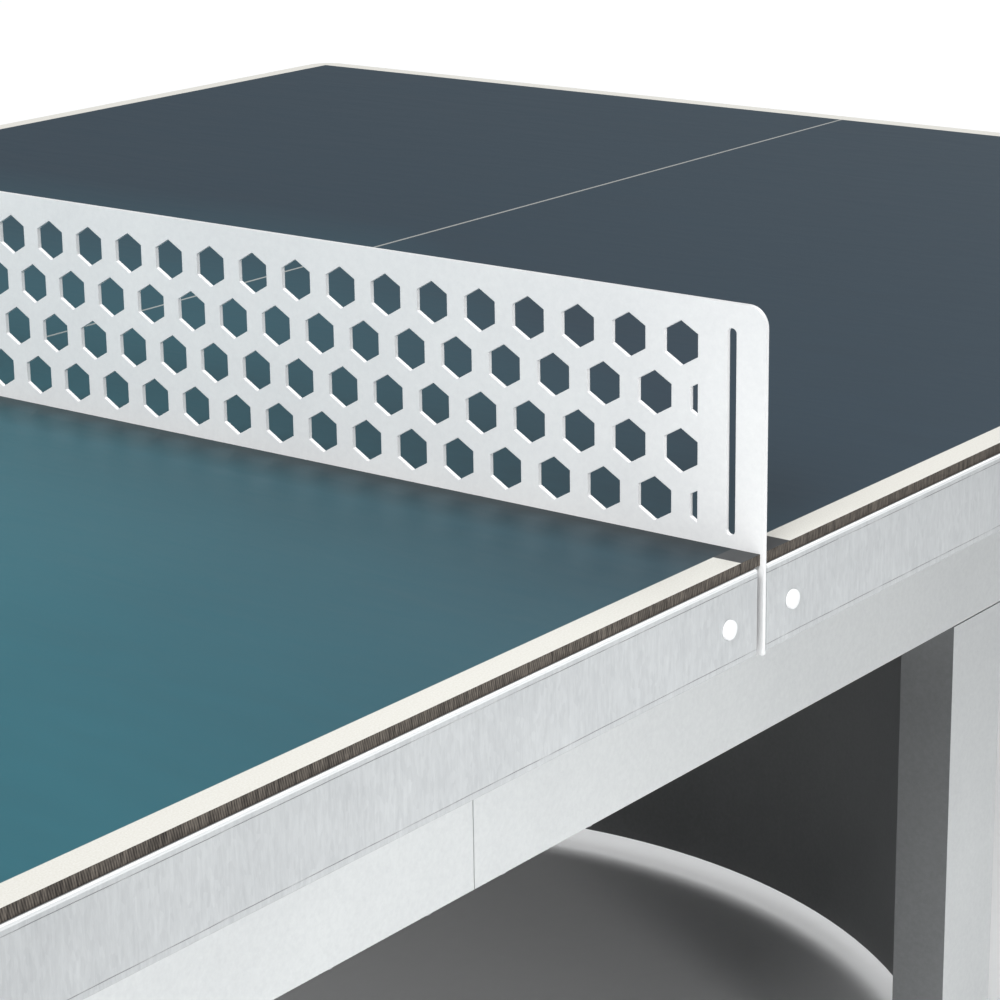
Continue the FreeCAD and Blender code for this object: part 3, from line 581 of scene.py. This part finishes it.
def make_apron_bolts(where, inward):
    """White low-domed caps with a small shadow groove under the rim, on threaded shanks."""
    node = f"apron_bolts_{where}"
    mesh = bmesh.new()
    for low, high in islands(node):
        radius = (high.x - low.x) / 2
        outer = low.y if inward > 0 else high.y
        centre = Vector(((low.x + high.x) / 2, outer, (low.z + high.z) / 2))
        place = facing(centre, (0, inward, 0))
        dome = [(radius * 0.30, 0), (radius * 0.72, 0.00012), (radius * 0.93, 0.0004), (radius, 0.0011),
                (radius, CAP_THICK - 0.0005), (radius - 0.0004, CAP_THICK)]
        turned(mesh, dome, 64, place)
        shank = facing(centre + Vector((0, inward * CAP_THICK, 0)), (0, inward, 0))
        threaded_rod(mesh, M8, high.y - low.y - CAP_THICK, M8_PITCH, shank)
    finished(mesh, f"cap_bolts_{where}", finish["white_paint"], "table", node)


def make_splice_bolts():
    """Domed socket heads under the flange, shanks, and chamfered nuts above."""
    mesh = bmesh.new()
    for low, high in islands("splice_bolts"):
        radius = (high.y - low.y) / 2
        socket = radius * 0.42
        head = [(socket * 0.9, HEAD_THICK * 0.55), (socket, HEAD_THICK * 0.5), (socket, 0.0002),
                (socket + 0.0003, 0)]
        for step in range(1, 7):
            swing = step / 6 * math.pi / 2
            across = socket + 0.0003 + (radius - socket - 0.0003) * math.sin(swing)
            head.append((across, (HEAD_THICK - 0.0008) * (1 - math.cos(swing))))
        head.append((radius, HEAD_THICK))
        turned(mesh, head, 48, Matrix.Translation(foot_of(low, high)))
        shank_and_nut(mesh, low, high, radius * 0.985, NUT_THICK - 0.0006)
    finished(mesh, "socket_bolts", zinc, "table", "splice_bolts")


def make_base_bolts():
    """Hexagon-headed bolts with nuts that hold the top on the base."""
    mesh = bmesh.new()
    for low, high in islands("base_bolts"):
        corners = (high.x - low.x) / 2
        hexagon_head(mesh, corners, HEAD_THICK, Matrix.Translation(foot_of(low, high)))
        shank_and_nut(mesh, low, high, corners, NUT_THICK - 0.0008)
    finished(mesh, "frame_bolts", zinc, "table", "base_bolts")


def make_clamp_bolts():
    """Long bolts along X that squeeze the rails on the net plate."""
    mesh = bmesh.new()
    for low, high in islands("net_clamp_bolts"):
        corners = max(high.y - low.y, high.z - low.z) / 2
        middle = Vector((low.x, (low.y + high.y) / 2, (low.z + high.z) / 2))
        hexagon_head(mesh, corners, CLAMP_HEAD_THICK, facing(middle, (1, 0, 0)))
        start = middle + Vector((CLAMP_HEAD_THICK, 0, 0))
        length = high.x - low.x - CLAMP_HEAD_THICK
        threaded_rod(mesh, M10, length, M10_PITCH, facing(start, (1, 0, 0)))
        nut = Vector((high.x - CLAMP_HEAD_THICK, middle.y, middle.z))
        hexagon_head(mesh, corners, CLAMP_HEAD_THICK - 0.0012, facing(nut, (1, 0, 0)))
    finished(mesh, "rail_bolts", zinc, "table", "net_clamp_bolts")


def make_foot_stem(node):
    """The threaded screw of one levelling foot, on the body that turns with it."""
    low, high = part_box(node)
    mesh = bmesh.new()
    place = Matrix.Translation(foot_of(low, high))
    threaded_rod(mesh, (high.x - low.x) / 2, high.z - low.z, M12_PITCH, place, M12_DEPTH)
    body = frame["nodes"][node]["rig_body"]
    finished(mesh, node.replace("foot_stem", "screw"), zinc, body, node)


make_apron_bolts("near", 1)
make_apron_bolts("far", -1)
make_splice_bolts()
make_base_bolts()
make_clamp_bolts()
for node in sorted(frame["nodes"]):
    if node.startswith("foot_stem"):
        make_foot_stem(node)


# --- stage ------------------------------------------------------------------------------------

FLOOR_REACH = 20.0
WORLD_STRENGTH = 0.25
SPOT_SIZE = 0.35
# A lamp's height doesn't change a far-away light.
SUN_HEIGHT = 3


def add_floor():
    shader = Shader("pale_floor")
    speck = shader.noise(shader.place, 40.0, 4.0)
    shader.set(Base_Color=shader.mix(speck, rgb(243, 244, 245), rgb(249, 250, 251)), Roughness=0.7)
    data = bpy.data.meshes.new("floor")
    corners = [(-FLOOR_REACH, -FLOOR_REACH, 0), (FLOOR_REACH, -FLOOR_REACH, 0),
               (FLOOR_REACH, FLOOR_REACH, 0), (-FLOOR_REACH, FLOOR_REACH, 0)]
    data.from_pydata(corners, [], [(0, 1, 2, 3)])
    data.materials.append(shader.material)
    floor = bpy.data.objects.new("floor", data)
    bpy.context.scene.collection.objects.link(floor)


def add_soft_light(name, towards, strength, spread):
    """A wide soft source, far away, in the direction given."""
    data = bpy.data.lights.new(name, "SUN")
    data.energy = strength
    data.angle = math.radians(spread)
    light = bpy.data.objects.new(name, data)
    light.matrix_world = facing(Vector((0, 0, SUN_HEIGHT)), towards)
    bpy.context.scene.collection.objects.link(light)


def add_spot(name, place, target, cone, power):
    """A soft-edged spot at a place, turned to a target; cone in degrees, power in watts."""
    data = bpy.data.lights.new(name, "SPOT")
    data.energy = power
    data.spot_size = math.radians(cone)
    data.spot_blend = 1.0
    data.shadow_soft_size = SPOT_SIZE
    light = bpy.data.objects.new(name, data)
    light.matrix_world = facing(Vector(place), Vector(place) - Vector(target))
    bpy.context.scene.collection.objects.link(light)


def add_world(strength):
    world = bpy.data.worlds.new("studio")
    world.use_nodes = True
    back = world.node_tree.nodes["Background"]
    back.inputs["Color"].default_value = (1.0, 1.0, 1.0, 1.0)
    back.inputs["Strength"].default_value = strength
    bpy.context.scene.world = world


bpy.context.scene.view_settings.view_transform = "Standard"
add_floor()
add_world(WORLD_STRENGTH)
add_soft_light("front", (-0.74, -0.20, 0.64), 2.7, 30)
add_soft_light("behind", (0.9, -0.05, 0.9), 1.6, 40)
add_spot("low", (-0.6, -2.5, 1.05), (-0.15, -0.54, 0.20), 50, 100.0)
